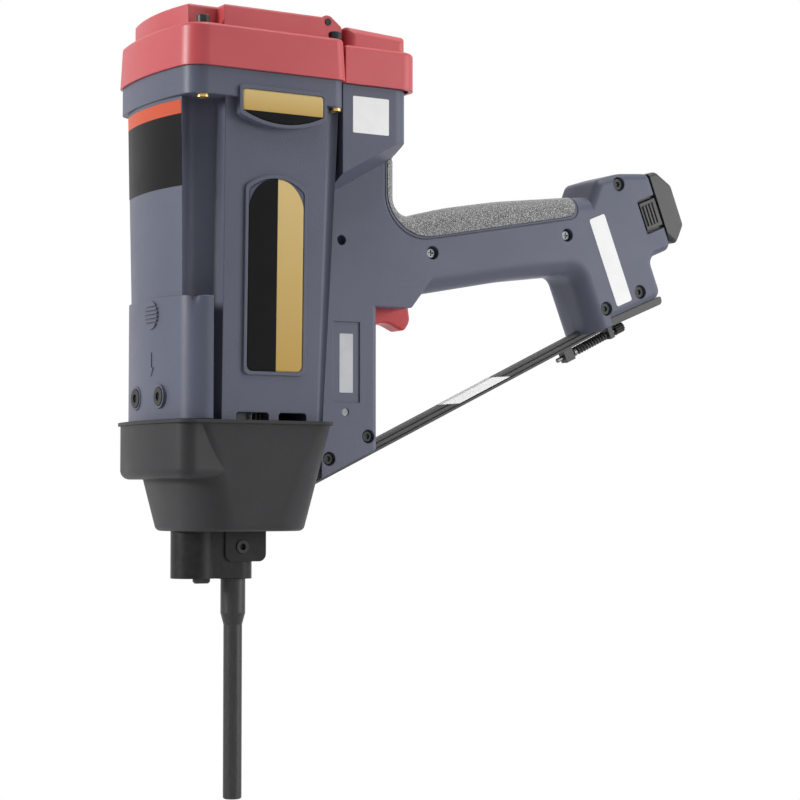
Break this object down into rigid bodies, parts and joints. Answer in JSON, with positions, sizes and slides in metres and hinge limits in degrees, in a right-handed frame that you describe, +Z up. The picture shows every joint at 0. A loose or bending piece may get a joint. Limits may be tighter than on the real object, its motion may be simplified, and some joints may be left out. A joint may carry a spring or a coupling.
{
  "type": "gas concrete nailer",
  "caption": "Hand held gas nailer: drafted housing, hinged fuel door, padded handle with battery foot, slanted rail with spring plunger, long slim sprung muzzle tube.",
  "frame": {"origin": "on the driver axis at the muzzle tip", "axes": "+Z up the driver axis to the head cap, +X back to the handle, -Y the pictured side"},
  "size_m": [0.4226, 0.1134, 0.5039],
  "materials": {
    "slate_plastic": "fine textured satin",
    "red_plastic": "satin",
    "black_plastic": "fine textured satin",
    "dark_rubber": "stippled matt",
    "badge_black": "domed gloss",
    "steel": "satin",
    "black_steel": "black oxide",
    "spring_steel": "drawn",
    "brass": "turned",
    "rail_aluminium": "black anodised",
    "bare_aluminium": "machined",
    "nose_cast": "black coat on cast metal",
    "can_paint": "lacquered",
    "board": "coated",
    "seal_rubber": "matt"
  },
  "bodies": {
    "tool": {"main_housing": "slate_plastic", "front_cover": "slate_plastic", "grip_shell_near": "slate_plastic", "grip_shell_far": "slate_plastic", "head_cap": "red_plastic", "nose_shroud": "black_plastic", "foot_bracket": "black_plastic", "trigger_switch": "black_plastic", "ignition_coil": "black_plastic", "metering_valve": "black_plastic", "grip_pad": "dark_rubber", "small_badge": "badge_black", "tall_badge": "badge_black", "cap_screws": "black_steel", "frame_screws": "black_steel", "foot_screws": "black_steel", "front_cover_screws": "black_steel", "nose_set_screw": "black_steel", "door_hinge_pin": "black_steel", "nose_clip": "black_steel", "brass_inserts": "brass", "nose_block": "nose_cast", "handle_screws": "steel", "dowel_pin": "steel", "bracket_screws": "steel", "latch_guide": "black_plastic", "latch_spring": "spring_steel", "return_spring": "spring_steel", "trigger_pin": "steel", "socket_contacts": "brass", "magazine_rail": "rail_aluminium", "cylinder": "bare_aluminium", "cylinder_head": "bare_aluminium", "spark_plug": "steel", "fan_motor": "steel", "bumper": "seal_rubber", "cylinder_seal": "seal_rubber", "head_seal": "seal_rubber", "can_seat": "seal_rubber", "fuel_cell": "can_paint", "ignition_board": "board"},
    "nose": {"muzzle_tube": "black_steel", "probe_yoke": "steel", "link_rods": "steel", "chamber_sleeve": "bare_aluminium"},
    "driver": {"piston": "bare_aluminium", "piston_ring": "steel", "driver_rod": "steel"},
    "fan_wheel": {"fan": "black_plastic"},
    "trigger_lever": {"trigger": "red_plastic"},
    "door": {"fuel_door": "red_plastic"},
    "battery": {"battery_case": "black_plastic"},
    "button_near": {"battery_button_near": "black_plastic"},
    "button_far": {"battery_button_far": "black_plastic"},
    "latch": {"latch_plunger": "steel", "latch_knob": "black_steel"}
  },
  "joints": [
    {"name": "nose_slide", "type": "slide", "parent": "tool", "child": "nose", "axis": [0, 0, 1], "range_m": [0, 0.02], "stiffness_N_per_m": 500, "springref_m": -0.02, "deforming": ["return_spring"]},
    {"name": "driver_slide", "type": "slide", "parent": "tool", "child": "driver", "axis": [0, 0, -1], "range_m": [0, 0.11]},
    {"name": "fan_spin", "type": "hinge", "parent": "tool", "child": "fan_wheel", "pos_m": [0, 0, 0.43], "axis": [0, 0, 1], "continuous": true},
    {"name": "trigger_pivot", "type": "hinge", "parent": "tool", "child": "trigger_lever", "pos_m": [0.1035, 0, 0.334], "axis": [0, -1, 0], "range_deg": [0, 9], "stiffness_Nm_per_rad": 0.5, "springref_deg": -17.19},
    {"name": "door_hinge", "type": "hinge", "parent": "tool", "child": "door", "pos_m": [0.047, 0, 0.4994], "axis": [0, -1, 0], "range_deg": [0, 100]},
    {"name": "battery_slide", "type": "slide", "parent": "tool", "child": "battery", "axis": [0.9272, 0, 0.3746], "range_m": [0, 0.09]},
    {"name": "button_near_press", "type": "slide", "parent": "battery", "child": "button_near", "axis": [0, 1, 0], "range_m": [0, 0.0025], "stiffness_N_per_m": 600, "springref_m": -0.002},
    {"name": "button_far_press", "type": "slide", "parent": "battery", "child": "button_far", "axis": [0, -1, 0], "range_m": [0, 0.0025], "stiffness_N_per_m": 600, "springref_m": -0.002},
    {"name": "latch_slide", "type": "slide", "parent": "tool", "child": "latch", "axis": [0.9048, 0, 0.4258], "range_m": [0, 0.005], "stiffness_N_per_m": 600, "springref_m": -0.004, "deforming": ["latch_spring"]}
  ]
}
